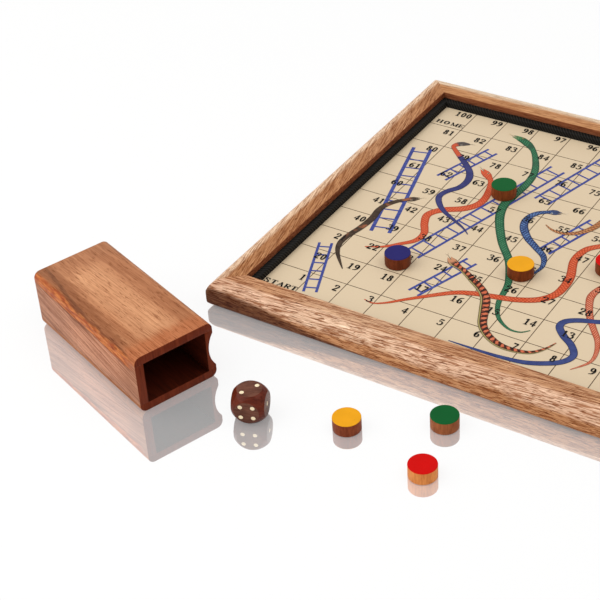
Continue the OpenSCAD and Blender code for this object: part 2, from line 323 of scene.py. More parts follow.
woodKinds = {
    "frame": {
        "light": (0.60, 0.33, 0.18), "deep": (0.35, 0.14, 0.055),
        "band": (60, 5), "line": (34, 1.4), "dash": (19, 0.8), "pore": (7, 0.6),
        "glintFleck": (17, 0.85), "fibre": (18, 0.4), "wave": 0.7, "bump": 0.6,
        "dashMask": (0.47, 0.60), "poreMask": (0.56, 0.66)
    },
    "cup": {
        "light": (0.52, 0.225, 0.105), "deep": (0.30, 0.105, 0.042),
        "band": (130, 9), "line": (70, 2.2), "dash": (30, 1.0), "pore": (6, 0.6),
        "glintFleck": (25, 1.4), "fibre": (25, 0.5),
        "dashMask": (0.48, 0.64), "dashShare": 0.5,
        "poreMask": (0.56, 0.68), "poreShare": 0.6, "glintFleckShare": 0.3
    },
    "dark": {
        "light": (0.15, 0.040, 0.016), "deep": (0.065, 0.014, 0.006),
        "band": (40, 5), "line": (20, 1.2), "dash": (12, 0.7), "pore": (5, 0.35),
        "glintFleck": (14, 1), "fibre": (12, 0.3), "wave": 0.4, "bump": 0.15, "roughness": 0.34,
        "dashMask": (0.5, 0.66), "dashShare": 0.5,
        "poreMask": (0.6, 0.75), "poreShare": 0.4, "glintFleckShare": 0.15
    },
    "board": {
        "light": (0.62, 0.44, 0.27), "deep": (0.46, 0.29, 0.16),
        "band": (200, 18), "line": (60, 3), "dash": (25, 1), "pore": (8, 0.5),
        "glintFleck": (25, 2), "fibre": (30, 0.5), "roughness": 0.62, "shine": 0.2,
        "dashMask": (0.55, 0.7), "dashShare": 0.4,
        "poreMask": (0.6, 0.75), "poreShare": 0.5, "glintFleckShare": 0.2
    }
}


def wood(name, kind, turn=zero, shift=zero, changes=None, stain=None):
    values = {**plainWood, **woodKinds[kind], **(changes or {})}
    finish = Finish(name, values["deep"], values["roughness"], values["coat"], values["shine"])

    def grain(layer, detail, warp=values["wave"]):
        return finish.cloud(values[layer], detail, shift, turn, 0.55, warp)

    growth = grain("line", 3).rise(0.38, 0.62)
    dashes = grain("dash", 2).rise(*values["dashMask"])
    pores = grain("pore", 2, 0.3).rise(*values["poreMask"])
    fibres = grain("fibre", 3, 0.0)
    bands = grain("band", 3, 0.7).rise(0.3, 0.7)
    finish.lay(bands * 0.5 + growth * 0.35 + fibres * 0.3, values["light"])
    if stain:
        stain(finish)
    # pale flecks along the grain: painted glints of sheen
    glintFlecks = grain("glintFleck", 2).rise(0.54, 0.68)
    finish.lay(glintFlecks * values["glintFleckShare"], (1.35, 1.5, 1.6), "MULTIPLY")
    finish.lay(dashes * values["dashShare"], (0.50, 0.34, 0.25), "MULTIPLY")
    finish.lay(pores * values["poreShare"], (0.36, 0.22, 0.15), "MULTIPLY")
    finish.set("Roughness", fibres * 0.16 + pores * 0.2 + (values["roughness"] - 0.08))
    finish.relief(fibres * 0.35 + growth * 0.15 - pores * 0.8 - dashes * 0.3,
                  values["bump"], 0.12 * mm)
    return finish.material


# The frame's four rails

railValues = {
    "rebate": 6 * mm,        # width of the step that holds the base board
    "innerDrop": 1 * mm,     # fall of the top towards the sheet
    "roundShare": 0.9995,    # rounding of the outer top edge, in shares of half the height
    "roundSteps": 14,
    "foot": 5 * mm,          # rounding of the outer bottom edge
    "footSteps": 8,
    "arris": 0.45 * mm,      # easing of the inner top edge
    "endEase": 0.16 * mm,    # easing of the mitre cuts
    "ridge": 8 * mm,         # how far in from the outside the ridge at a mitre is rounded
    "outerCorner": 1.2 * mm, # radius of that rounding
    "cornerSteps": 6,
    # grain's tilt off the rail in degrees, how far in from the sheet the pale face starts, how
    # high above the table it ends, shares of the dark heartwood with painted shade and of the fine
    # marks;
    # the pale face colour is a painted highlight on the outer round, and low is the foot under it
    "sides": {
        "front": {"tilt": 4, "start": 11, "end": 9, "heartAndShade": 1.0, "contrast": 1.0,
                  "slope": (0.62, 0.32, 0.165), "face": (0.86, 0.57, 0.40),
                  "low": (0.60, 0.28, 0.12)},
        "right": {"tilt": -8, "start": 11, "end": 9, "heartAndShade": 0.2, "contrast": 0.8,
                  "slope": (0.45, 0.21, 0.095), "face": (0.60, 0.35, 0.22),
                  "low": (0.45, 0.21, 0.095)},
        "back": {"tilt": 2, "start": 8.5, "end": 12.5, "heartAndShade": 0.0, "contrast": 0.55,
                 "slope": (0.57, 0.275, 0.115), "face": (0.95, 0.80, 0.60),
                 "low": (0.58, 0.31, 0.155)},
        "left": {"tilt": 13, "start": 9.5, "end": 12.5, "heartAndShade": 0.2, "contrast": 0.8,
                 "slope": (0.43, 0.185, 0.072), "face": (0.90, 0.66, 0.46),
                 "low": (0.50, 0.25, 0.12)}
    },
    "heartWoodAndShade": (0.115, 0.032, 0.011),
    "paleWood": (0.98, 0.74, 0.52),
    "innerWallShade": (0.21, 0.052, 0.02)
}


def makeRailBlank():
    values = railValues
    low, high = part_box("rail_front")
    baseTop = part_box("base_board")[1].z
    stepY = high.y - values["rebate"]
    rail = addCube("rail", Vector((low.x, low.y, baseTop)), high)

    def lengthwise(edge, y, z):  # along the rail, at a place of its section
        spot = middle(edge)
        return runsAlongX(edge, high.x) and abs(spot.y - y) < hair and abs(spot.z - z) < hair

    edit(rail)
    onAll(bpy.ops.mesh.bisect, plane_co=(0, stepY, 0), plane_no=(0, 1, 0))
    pick("FACE", lambda f: f.normal.z < -0.9 and middle(f).y < stepY)
    bpy.ops.mesh.extrude_region_move(TRANSFORM_OT_translate={"value": (0, 0, -baseTop)})
    onAll(bpy.ops.mesh.dissolve_limited, angle_limit=math.radians(1))
    pick("EDGE", lambda e: lengthwise(e, low.y, high.z))
    bpy.ops.mesh.bevel(offset=high.z / 2 * values["roundShare"], segments=values["roundSteps"],
                       clamp_overlap=False)
    pick("EDGE", lambda e: lengthwise(e, low.y, 0))
    bpy.ops.mesh.bevel(offset=values["foot"], segments=values["footSteps"], clamp_overlap=False)
    onAll(bpy.ops.mesh.remove_doubles, threshold=weld)
    pick("VERT", lambda v: v.co.y > high.y - hair and v.co.z > high.z - hair)
    bpy.ops.transform.translate(value=(0, 0, -values["innerDrop"]))
    pick("EDGE", lambda e: lengthwise(e, high.y, high.z - values["innerDrop"]))
    bpy.ops.mesh.bevel(offset=values["arris"], segments=4)
    for way in (-1, 1):
        onAll(bpy.ops.mesh.bisect, plane_co=(way * -low.y, low.y, 0), plane_no=(way, 1, 0),
              clear_outer=True)
    leaveEdit()
    return rail


def makeFrameRing(rail):  # four open rails welded, so that the ridges can be rounded
    ring = joined([copied(rail, "ring", quarter(k)) for k in range(4)], "ring")
    inside = -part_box("rail_front")[0].y - railValues["ridge"]
    edit(ring)
    onAll(bpy.ops.mesh.remove_doubles, threshold=weld)
    pick("EDGE", lambda e: all(abs(abs(v.co.x) - abs(v.co.y)) < hair and abs(v.co.x) > inside
                               for v in e.verts))
    bpy.ops.mesh.bevel(offset=railValues["outerCorner"], segments=railValues["cornerSteps"],
                       clamp_overlap=True)
    for way in (1, -1):
        onAll(bpy.ops.mesh.bisect, plane_co=zero, plane_no=(way, 1, 0), use_fill=True,
              clear_outer=True)
    leaveEdit()
    eased(ring, railValues["endEase"], 2, 44)
    return ring


def railStain(side, angle):  # zones across a rail, read in the front rail's place
    values = railValues["sides"][side]
    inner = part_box("rail_front")[1].y / mm
    turn = (0, 0, angle)

    def stain(finish):
        run, across, height = finish.place(turn=turn).parts()
        drift = finish.cloud((55, 8), 3, (0.3, 0, 0), turn, 0.6, 0.5) - 0.5
        edge = inner - values["start"]
        # the outer round takes the pale face colour, a painted highlight of the lamps' sheen
        crest = (across + drift * 6).rise(edge - 2, edge + 1.5)
        zone = finish.blend(crest, values["face"], values["slope"])
        glow = (run + 50 + drift * 40).size().fall(15, 60)
        zone = finish.blend(glow * values["heartAndShade"] * 0.35, zone, railValues["paleWood"])
        low = (height + drift * 8).fall(values["end"], values["end"] + 4.5)
        finish.lay(0.68, finish.blend(low, zone, values["low"]))
        # dark heartwood with painted shade, low on the rail and rising towards its left end
        reach = run.rise(-150, 0, 7.5, -7)
        heartAndShade = (height + drift * 9 - reach).fall(5, 9) * values["heartAndShade"]
        finish.lay(heartAndShade * 0.85, railValues["heartWoodAndShade"])
        # painted shade on the inner wall over the recess
        finish.lay(across.rise(inner - 0.35, inner - 0.1) * 0.85, railValues["innerWallShade"])

    return stain


def makeRails():
    rail = makeRailBlank()
    blank = makeFrameRing(rail)
    bpy.data.objects.remove(rail)
    for count, side in enumerate(sideNames):
        angle = count * math.pi / 2
        rail = copied(blank, "frame_rail_" + side, quarter(count))
        softened(rail)
        values = railValues["sides"][side]
        grain = (0, 0, angle + math.radians(values["tilt"]))
        shares = {key: values["contrast"] for key in ("dashShare", "poreShare", "glintFleckShare")}
        material = wood("rail " + side, "frame", grain, (0.31 * count, 0.17 * count, 0), shares,
                        railStain(side, angle))
        finished(dressed(rail, material), "board", "frame_wood", "rail_" + side)
    bpy.data.objects.remove(blank)


makeRails()
stage("four mitred rails")

# The black strip round the sheet, with slanting ribs

liningValues = {
    "pitch": 2.3 * mm,       # from rib to rib
    "ribDepth": 0.45 * mm,
    "lean": 0.7,             # how far the ribs slant
    "edge": 1.1 * mm,        # rounding of the edge over the sheet
    "edgeSteps": 4,
    "flatSteps": 6,          # along the top and down the side
    "stepsPerRib": 6
}


def liningSection(width, height):  # points round the strip, each with its outward direction
    edge, flat, bend = (liningValues[key] for key in ("edge", "flatSteps", "edgeSteps"))
    points = [(((width - edge) * i / flat, height), (0, 1)) for i in range(flat + 1)]
    for i in range(1, bend + 1):
        angle = math.pi / 2 * (1 - i / bend)
        out = (math.cos(angle), math.sin(angle))
        points.append(((width - edge + edge * out[0], height - edge + edge * out[1]), out))
    points += [((width, (height - edge) * (1 - i / flat)), (1, 0)) for i in range(1, flat + 1)]
    return points + [((0, 0), (0, 0)), points[0]]


def makeLining():
    values = liningValues
    low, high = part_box("lining_front")
    section = liningSection(high.y - low.y, high.z - low.z)
    paths = [0]
    for (a, _), (b, _) in zip(section, section[1:]):
        paths.append(paths[-1] + math.dist(a, b))

    def place(x, y):
        row = round((1 - y) / 2 * (len(section) - 1))
        (depth, rise), out = section[row]
        run = x * (high.x - depth)
        phase = (run + values["lean"] * paths[row]) / values["pitch"]
        sink = values["ribDepth"] * (0.5 - 0.5 * math.cos(2 * math.pi * phase))
        return (run, low.y + depth - out[0] * sink, low.z + rise - out[1] * sink), (phase, 0.5)

    ribs = round(2 * high.x / values["pitch"])
    strip = bentGrid("lining", ribs * values["stepsPerRib"], len(section) - 1, place)
    edit(strip)
    onAll(bpy.ops.mesh.remove_doubles, threshold=weld)
    onAll(bpy.ops.mesh.fill_holes, sides=0)
    onAll(bpy.ops.mesh.normals_make_consistent, inside=False)
    leaveEdit()
    softened(strip, 50)
    finish = Finish("black ribbed strip", (0.003, 0.003, 0.003), 0.55, 0, 0.08)
    finish.lay(finish.cloud(9), (0.009, 0.009, 0.008))
    phase = finish.node("ShaderNodeUVMap", output="UV").parts()[0]
    # the rib crests are lighter: a painted highlight
    finish.lay(phase.beat().rise(0.26, 0.46) * 0.8, (0.034, 0.030, 0.026))
    finish.relief(finish.cloud(0.3), 0.3, 0.05 * mm)
    for count, side in enumerate(sideNames):
        piece = copied(strip, "edge_strip_" + side, quarter(count))
        finished(dressed(piece, finish.material), "board", "black_lining", "lining_" + side)
    bpy.data.objects.remove(strip)


makeLining()
stage("ribbed black strips")

# Figures and letters of the print, drawn as flat ribbons along a route

sheetLow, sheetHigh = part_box("printed_sheet")
squareSide = 25 * mm
sheetMargin = sheetHigh.y - sheetLow.y - 10 * squareSide   # bare strip before the first row
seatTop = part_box("counter_green")[0].z   # the print stays under the counters
inkThickness = 0.03 * mm
markThickness = 0.02 * mm


def onSheet(column, row):  # squares from the front left corner, to metres
    return Vector((sheetLow.x + column * squareSide,
                   sheetLow.y + sheetMargin + row * squareSide))


def smoothRoute(points, steps=8):  # a curve that passes through every point
    route = []
    last = len(points) - 1
    for i in range(last):
        a, b = points[max(i - 1, 0)], points[i]
        c, d = points[i + 1], points[min(i + 2, last)]
        for k in range(steps):
            t = k / steps
            route.append(b + ((c - a) * t + (2 * a - 5 * b + 4 * c - d) * t * t
                              + (3 * b - a - 3 * c + d) * t ** 3) / 2)
    route.append(points[last])
    return route


def lookup(table, share):
    for (a, first), (b, second) in zip(table, table[1:]):
        if share <= b:
            return first + (second - first) * (share - a) / (b - a)
    return table[-1][1]


def leftOf(ahead):
    return Vector((-ahead.y, ahead.x))


class Route:  # a polyline that can be read by length
    def __init__(self, points):
        self.points = points
        self.marks = [0]
        for a, b in zip(points, points[1:]):
            self.marks.append(self.marks[-1] + (b - a).length)
        self.length = self.marks[-1]

    def at(self, run):  # place and direction
        run = min(max(run, 0), self.length)
        i = 0
        while i < len(self.points) - 2 and self.marks[i + 1] < run:
            i += 1
        a, b = self.points[i], self.points[i + 1]
        share = (run - self.marks[i]) / max(self.marks[i + 1] - self.marks[i], 1e-9)
        before = self.points[max(i - 1, 0)]
        after = self.points[min(i + 2, len(self.points) - 1)]
        start, end = (b - before).normalized(), (after - a).normalized()
        return a.lerp(b, share), start.lerp(end, share).normalized()


def addRibbon(name, route, halfWidth, top, thickness, steps, across, shift=None):
    def place(x, side):
        share = (x + 1) / 2
        run = share * route.length
        if shift:
            run += shift(run, side)
        spot, ahead = route.at(run)
        spot = spot + leftOf(ahead) * side * halfWidth(share, ahead)
        return (spot.x, spot.y, top), (run / mm, side)

    ribbon = bentGrid(name, steps, across, place)
    edit(ribbon)
    onAll(bpy.ops.mesh.extrude_region_move, TRANSFORM_OT_translate={"value": (0, 0, -thickness)})
    onAll(bpy.ops.mesh.normals_make_consistent, inside=False)
    leaveEdit()
    return ribbon


def addDot(name, place, radius, top, thickness, steps=20):
    return addCylinder(name, radius, thickness, (place.x, place.y, top - thickness / 2), steps)


# Snakes. A colour's print is one node of the frame, and each lies at its own height under the
# counters, so that a snake can cross another one.

snakeInks = {
    "green": ("ink_snake_green", 0.115 * mm), "red": ("ink_snakes_red", 0.08 * mm),
    "blue": ("ink_snakes_blue", 0.045 * mm), "brown": ("ink_snakes_brown", 0.045 * mm)
}

# half width along the body, in shares of its length and of half its girth
girthShares = [(0, 0.5), (0.03, 0.95), (0.06, 1), (0.1, 0.6), (0.2, 0.8), (0.4, 1),
               (0.7, 0.8), (0.9, 0.4), (1, 0.12)]

snakeValues = {
    "step": 0.7 * mm, "across": 10,     # mesh of the body
    "jaw": 1.7,                         # length of the jaws, in gapes
    "notch": 0.62,                      # the mouth's half width, as a share of the snout's
    "lip": (0.7, 0.3, 0.35),            # where a lip turns back, its width, its fall in gapes
    "snout": 0.25,                      # fall of a closed snout's corners, in girths
    "eyePlace": (1.2, 1.15),            # behind the tip, in girths and in gapes
    "iris": 0.75 * mm, "pupil": 0.48 * mm,
    "irisLift": 0.006 * mm, "irisThickness": 0.01 * mm,
    "tongueRoot": (0.75, 0.3 * mm),     # in gapes behind the tip, and further in
    "tongueOut": 2.2 * mm, "fork": (1.8 * mm, 1.1 * mm), "tongueHalf": 0.16 * mm,
    "tongueSteps": 12
}

# girth and route in squares, gape and scale in millimetres, eye in shares of the girth
plainSnake = {"gape": 4, "eye": 0.25, "scale": 0, "shine": 1.0, "tongue": (0.66, 0.55, 0.32)}

snakes = {
    "snake_green": {
        "ink": "green", "girth": 0.26, "gape": 5.5, "eye": 0.3, "tongue": (0.62, 0.50, 0.16),
        "body": (0.03, 0.15, 0.070), "light": (0.085, 0.27, 0.14), "scale": 2.1,
        "edge": (0.010, 0.045, 0.024), "head": (0.09, 0.22, 0.09),
        "patches": (0.035, 0.095, 0.055),
        "route": [(2.47, 9.4), (2.85, 9.3), (3.3, 8.98), (3.65, 8.45), (3.88, 7.89),
                  (3.95, 7.3), (3.9, 6.6), (3.87, 6.05), (4.08, 5.39), (4.6, 4.5),
                  (5.15, 3.8), (5.5, 3.1), (5.62, 2.7), (5.72, 2.1), (5.97, 1.58),
                  (6.37, 1.28), (6.7, 1.27), (6.9, 1.45)]},
    "snake_red_upper": {
        "ink": "red", "girth": 0.25, "gape": 5, "scale": 2.2, "shine": 0.7,
        "body": (0.66, 0.095, 0.035), "light": (0.72, 0.17, 0.08),
        "edge": (0.36, 0.05, 0.02), "head": (0.62, 0.10, 0.04),
        "route": [(2.5, 7.42), (2.8, 7.18), (3.02, 6.95), (3.17, 6.58), (3.27, 6.12),
                  (3.22, 5.72), (2.96, 5.39), (2.5, 5.08), (2.28, 4.72), (2.4, 4.32),
                  (2.62, 3.9), (2.58, 3.5), (2.3, 3.18), (1.97, 2.86), (1.55, 2.65)]},
    "snake_red_long": {
        "ink": "red", "girth": 0.24, "gape": 5, "scale": 2.4, "shine": 0.7,
        "body": (0.72, 0.095, 0.028), "light": (0.72, 0.18, 0.09),
        "edge": (0.28, 0.045, 0.018), "head": (0.66, 0.10, 0.04),
        "route": [(8.2, 6.9), (7.7, 6.5), (7.4, 5.95), (6.95, 5.5), (6.66, 5.15),
                  (6.6, 4.6), (6.8, 3.95), (6.86, 3.49), (6.8, 3.03), (6.53, 2.66),
                  (6.04, 2.4), (5.45, 2.25), (4.99, 2.14), (4.5, 1.9), (3.68, 1.18),
                  (3.29, 0.8), (2.99, 0.62), (2.72, 0.66)]},
    "snake_red_pale": {
        "ink": "red", "girth": 0.2, "scale": 2.0,
        "body": (0.64, 0.13, 0.06), "light": (0.80, 0.36, 0.23),
        "edge": (0.24, 0.04, 0.018), "head": (0.66, 0.12, 0.05),
        "route": [(8.7, 5.1), (8.3, 4.9), (8, 4.4), (7.7, 3.85), (7.61, 3.42),
                  (7.72, 3.03), (7.95, 2.57), (8.21, 2.2), (8.47, 1.84), (8.64, 1.38),
                  (8.64, 0.98), (8.36, 0.55)]},
    "snake_blue_upper": {
        "ink": "blue", "girth": 0.21, "gape": 0, "eye": 0.3, "tongue": (0.55, 0.50, 0.42),
        "body": (0.038, 0.040, 0.145), "light": (0.065, 0.070, 0.21),
        "edge": (0.014, 0.012, 0.045), "head": (0.085, 0.07, 0.065),
        "neck": ((10.5, 27), (0.56, 0.095, 0.04)),
        "route": [(1.61, 8.42), (1.36, 8.33), (1.24, 8.15), (1.36, 7.98), (1.97, 7.45),
                  (2.3, 7.08), (2.44, 6.7), (2.4, 6.3), (2.2, 5.98), (2.12, 5.66),
                  (2.3, 5.33), (2.65, 5.02), (3.36, 4.62), (3.66, 4.38)]},
    "snake_blue_scaled": {
        "ink": "blue", "girth": 0.23, "gape": 4.5, "tongue": (0.68, 0.66, 0.60),
        "body": (0.025, 0.05, 0.16), "light": (0.17, 0.30, 0.60), "scale": 2.6, "shine": 0.62,
        "edge": (0.012, 0.018, 0.06), "head": (0.05, 0.07, 0.15),
        "route": [(5.42, 6.4), (5.12, 6.32), (4.84, 6.12), (4.71, 5.79), (4.79, 5.39),
                  (5.1, 4.97), (5.48, 4.67), (5.84, 4.38), (6, 4), (5.96, 3.65), (5.85, 3.4)]},
    "snake_blue_plain": {
        "ink": "blue", "girth": 0.2, "tongue": (0.55, 0.50, 0.42),
        "body": (0.038, 0.055, 0.175), "light": (0.07, 0.095, 0.26),
        "edge": (0.010, 0.012, 0.045), "head": (0.05, 0.065, 0.18),
        "route": [(9.2, 3.5), (9, 2.98), (8.74, 2.83), (8.21, 2.53), (7.78, 2.37),
                  (7.49, 2.17), (7.45, 1.92), (7.68, 1.64), (8.01, 1.38), (8.21, 1.05),
                  (8.08, 0.72), (7.72, 0.46), (7.29, 0.28), (6.83, 0.21), (6.3, 0.18),
                  (5.35, 0.18)]},
    "snake_brown": {
        "ink": "brown", "girth": 0.21, "gape": 4.5, "eye": 0.2, "tongue": (0.55, 0.45, 0.32),
        "body": (0.044, 0.028, 0.019), "light": (0.10, 0.066, 0.043),
        "edge": (0.018, 0.011, 0.008), "head": (0.07, 0.048, 0.034),
        "patches": (0.30, 0.105, 0.05),
        "route": [(1.72, 5.32), (1.3, 4.98), (1.07, 4.65), (1, 4.3), (1.05, 3.88),
                  (1, 3.36), (0.89, 2.83), (0.9, 2.43), (1.09, 2.04), (1.55, 1.52)]},
    "snake_ochre": {
        "ink": "brown", "girth": 0.22, "eye": 0.2, "tongue": (0.55, 0.45, 0.32),
        "body": (0.50, 0.20, 0.08), "light": (0.62, 0.30, 0.14),
        "edge": (0.12, 0.05, 0.02), "head": (0.45, 0.18, 0.07),
        "bars": (2.4, 0.45, 0.05, (0.13, 0.05, 0.02)),
        "route": [(7.8, 8.1), (7.3, 7.75), (6.85, 7.3), (6.58, 6.75), (6.46, 6.28),
                  (6.33, 5.97), (6.1, 5.7), (5.81, 5.56), (5.5, 5.59), (5.26, 5.73)]},
    "snake_banded": {
        "ink": "brown", "girth": 0.26, "gape": 3.5, "eye": 0.2, "tongue": (0.10, 0.06, 0.04),
        "body": (0.62, 0.14, 0.065), "light": (0.68, 0.24, 0.13),
        "edge": (0.05, 0.025, 0.015), "head": (0.55, 0.26, 0.14),
        "bars": (4.4, 0.36, 0.13, (0.05, 0.018, 0.012)), "belly": (0.40, 0.33, 0.13),
        "route": [(3.72, 3.25), (3.98, 3.05), (4.35, 2.88), (4.75, 2.62), (5.1, 2.38),
                  (5.36, 2.08), (5.56, 1.62), (5.78, 1.12), (6.1, 0.79), (6.5, 0.6),
                  (6.9, 0.58), (7.28, 0.69), (7.52, 0.98), (7.65, 1.3)]}
}


def printInk(name, colour):
    return Finish("print " + name, colour, 0.42, 0.0, 0.05)


def snakeInk(name, snake, seed):
    finish = printInk(name, snake["body"])
    run, side, _ = finish.node("ShaderNodeUVMap", output="UV").parts()
    reach, shift = side.size(), (seed, 0, 0)
    light, edge, head = snake["light"], snake["edge"], snake["head"]
    finish.lay(finish.cloud(4, 3, shift).rise(0.35, 0.68) * 0.5, light)
    if snake["scale"]:
        slant = side * 2.4
        first = ((run + slant) / snake["scale"]).beat()
        second = ((run - slant) / snake["scale"]).beat()
        middles = first.fall(0.08, 0.34) * second.fall(0.08, 0.34) * reach.fall(0.5, 1.0)
        lines = first.rise(0.30, 0.44) + second.rise(0.30, 0.44)
        finish.lay(middles * snake["shine"], light)
        finish.lay(lines.rise(0.1, 1.0) * 0.75, edge)
        finish.lay(reach.rise(0.3, 1.0) * 0.35, edge)
    if "patches" in snake:
        blot = finish.cloud(9, 2, shift)
        finish.lay(blot.rise(0.54, 0.64) * run.fall(58, 76), snake["patches"])
    if "bars" in snake:
        pitch, lean, width, dark = snake["bars"]
        wobble = finish.cloud(2, 2, shift) * 0.6
        bar = (run / pitch + side * lean + wobble).beat()
        cross = (run / pitch - side * lean + 0.5).beat()
        finish.lay(bar.rise(0.36 - width, 0.44 - width), dark)
        finish.lay(cross.rise(0.42 - width, 0.50 - width) * 0.7, dark)
    if "belly" in snake:
        finish.lay(side.rise(-0.52, -0.60), snake["belly"])
        finish.lay((side + 0.52).size().fall(0.06, 0.14), edge)
    if "neck" in snake:
        (start, end), tint = snake["neck"]
        finish.lay(run.rise(end, start), tint)
        finish.lay(run.rise(start - 1, start + 1) * run.fall(end - 2, end + 2), tint)
        finish.lay(run.fall(start - 3, start), head)
    else:
        finish.lay(run.fall(4, 9), head)
    finish.lay(reach.rise(0.80, 0.92) * 0.8, edge)
    return finish.material


def plainInk(name, colour):
    finish = printInk(name, tuple(value * 0.72 for value in colour))
    finish.lay(finish.cloud(3), colour)
    return finish.material


def makeSnake(name, snake, seed):
    values = snakeValues
    node, depth = snakeInks[snake["ink"]]
    top, marksTop = seatTop - depth, seatTop - inkThickness
    girth, gape = snake["girth"] * squareSide, snake["gape"] * mm
    route = Route(smoothRoute([onSheet(*point) for point in snake["route"]]))
    tongueInk = plainInk("tongue " + name, snake["tongue"])

    def mouth(run, side):  # opens the jaws: the middle of the snout lies further back
        reach = abs(side)
        if not gape or run > values["jaw"] * gape:
            return values["snout"] * girth * reach ** 3 * max(0, 1 - run / girth)
        start, width, fall = values["lip"]
        notch = gape * max(0, 1 - reach / values["notch"]) ** 0.8
        notch += fall * gape * max(0, reach - start) / width
        return notch * (1 - run / (values["jaw"] * gape))

    body = addRibbon(name, route, lambda share, ahead: girth / 2 * lookup(girthShares, share),
                     top, inkThickness, round(route.length / values["step"]), values["across"],
                     mouth)
    parts = [dressed(body, snakeInk(name, snake, 0.1 * seed))]
    girths, gapes = values["eyePlace"]
    spot, ahead = route.at(max(girths * girth, gapes * gape))
    spot = spot + leftOf(ahead) * snake["eye"] * girth
    iris = addDot("iris", spot, values["iris"], top + values["irisLift"], values["irisThickness"])
    pupil = addDot("pupil", spot, values["pupil"], marksTop, markThickness)
    parts += [dressed(iris, tongueInk), dressed(pupil, blackInk)]
    gapes, further = values["tongueRoot"]
    snout, ahead = route.at(gape * gapes)
    root = snout + ahead * further
    fork = snout - ahead * (gape * gapes + values["tongueOut"])
    long, wide = values["fork"]
    for side in (-1, 1):
        tip = fork - ahead * long + leftOf(ahead) * side * wide
        tongue = addRibbon("tongue", Route([root, fork, tip]),
                           lambda share, way: values["tongueHalf"] * (1.15 - share),
                           marksTop, markThickness, values["tongueSteps"], 1)
        parts.append(dressed(tongue, tongueInk))
    finished(joined(parts, name), "board", "ink_" + snake["ink"], node)


blackInk = plainInk("black", (0.012, 0.011, 0.010))
for count, (name, snake) in enumerate(snakes.items()):
    makeSnake(name, {**plainSnake, **snake}, count)
stage("ten printed snakes")

# Numbers and the words at the first and the last square. Each stroke is a row of hundredths of
# the height: three are a dot, its place and radius; four a loop, its middle and half sizes;
# five a straight line, its ends and width; more a curve through places. Curves and loops are
# thick where they run upright.

strokes = {
    "0": [(33, 50, 21, 46)],
    "1": [(34, 3, 34, 98, 19), (30, 93, 12, 80, 9), (12, 3, 56, 3, 6)],
    "2": [(11, 70, 16, 92, 34, 97, 51, 86, 50, 66, 34, 40, 10, 8), (8, 8, 58, 8, 17),
          (14, 74, 7.5)],
    "3": [(11, 80, 20, 96, 36, 97, 49, 84, 44, 64, 26, 54),
          (26, 54, 50, 48, 54, 22, 34, 3, 10, 8), (12, 13, 8.5)],
    "4": [(42, 0, 42, 98, 17), (42, 96, 7, 32, 6), (5, 30, 62, 30, 13)],
    "5": [(15, 90, 55, 90, 16), (16, 92, 12, 55, 6),
          (12, 56, 34, 60, 53, 44, 50, 18, 32, 3, 10, 7), (12, 12, 8.5)],
    "6": [(56, 97, 30, 86, 13, 58, 13, 28, 26, 5), (34, 29, 20, 26)],
    "7": [(9, 89, 58, 89, 17), (54, 86, 24, 0, 13)],
    "8": [(33, 74, 16, 22), (33, 27, 20, 24)],
    "9": [(10, 3, 36, 14, 53, 42, 53, 72, 40, 95), (32, 71, 20, 26)],
    "S": [(52, 78, 40, 96, 20, 92, 14, 72, 34, 52, 52, 32, 46, 8, 24, 3, 10, 22),
          (53, 97, 53, 68, 5), (10, 3, 10, 33, 5)],
    "T": [(34, 3, 34, 96, 19), (4, 95, 64, 95, 7), (6, 95, 6, 72, 5), (62, 95, 62, 72, 5),
          (18, 3, 50, 3, 6)],
    "A": [(10, 3, 36, 97, 6), (34, 97, 62, 3, 18), (18, 36, 50, 36, 6), (0, 3, 22, 3, 6),
          (46, 3, 76, 3, 6)],
    "R": [(18, 3, 18, 95, 17), (4, 95, 36, 95, 6), (34, 95, 54, 86, 54, 62, 34, 50, 20, 50),
          (34, 50, 62, 2, 17), (4, 3, 32, 3, 6)],
    "H": [(16, 3, 16, 96, 17), (60, 3, 60, 96, 17), (16, 50, 60, 50, 7), (2, 96, 30, 96, 6),
          (46, 96, 74, 96, 6), (2, 3, 30, 3, 6), (46, 3, 74, 3, 6)],
    "O": [(36, 50, 28, 46)],
    "M": [(12, 3, 12, 96, 6), (12, 96, 42, 4, 15), (42, 4, 70, 96, 6), (70, 3, 70, 96, 17),
          (0, 3, 24, 3, 6), (56, 3, 84, 3, 6), (0, 96, 16, 96, 6), (66, 96, 84, 96, 6)],
    "E": [(16, 3, 16, 96, 17), (2, 95, 58, 95, 7), (16, 50, 42, 50, 6), (2, 4, 60, 4, 7),
          (57, 95, 57, 72, 5), (59, 4, 59, 28, 5), (42, 62, 42, 38, 5)]
}

letterValues = {
    "thick": 0.185, "thin": 0.07,       # stroke widths, in shares of the height
    "thinning": 1.3,                    # how soon a turning stroke gets thin
    "loop": 0.85,                       # a loop's width at the middle of its stroke
    "dotSteps": 14, "loopSteps": 28, "curveSteps": 26,
    "depth": 0.01 * mm,                 # how far the letters' tops lie under the counters
    "numberHeight": 6.2 * mm, "numberStep": 0.69,
    "numberRight": 1.6 * mm,            # gap from a number to the line on its right
    "numberTop": 3.7 * mm,              # gap from the line above
    "lastRowTop": 1.8 * mm,
    "words": [  # word, row, height, width and step, start from the left and foot above the line
        ("START", 0, 4.5 * mm, (1.49, 1.12), 0.3 * mm, 3.0 * mm),
        ("HOME", 9, 4.5 * mm, (1.50, 1.31), 2.7 * mm, 2.8 * mm)
    ]
}


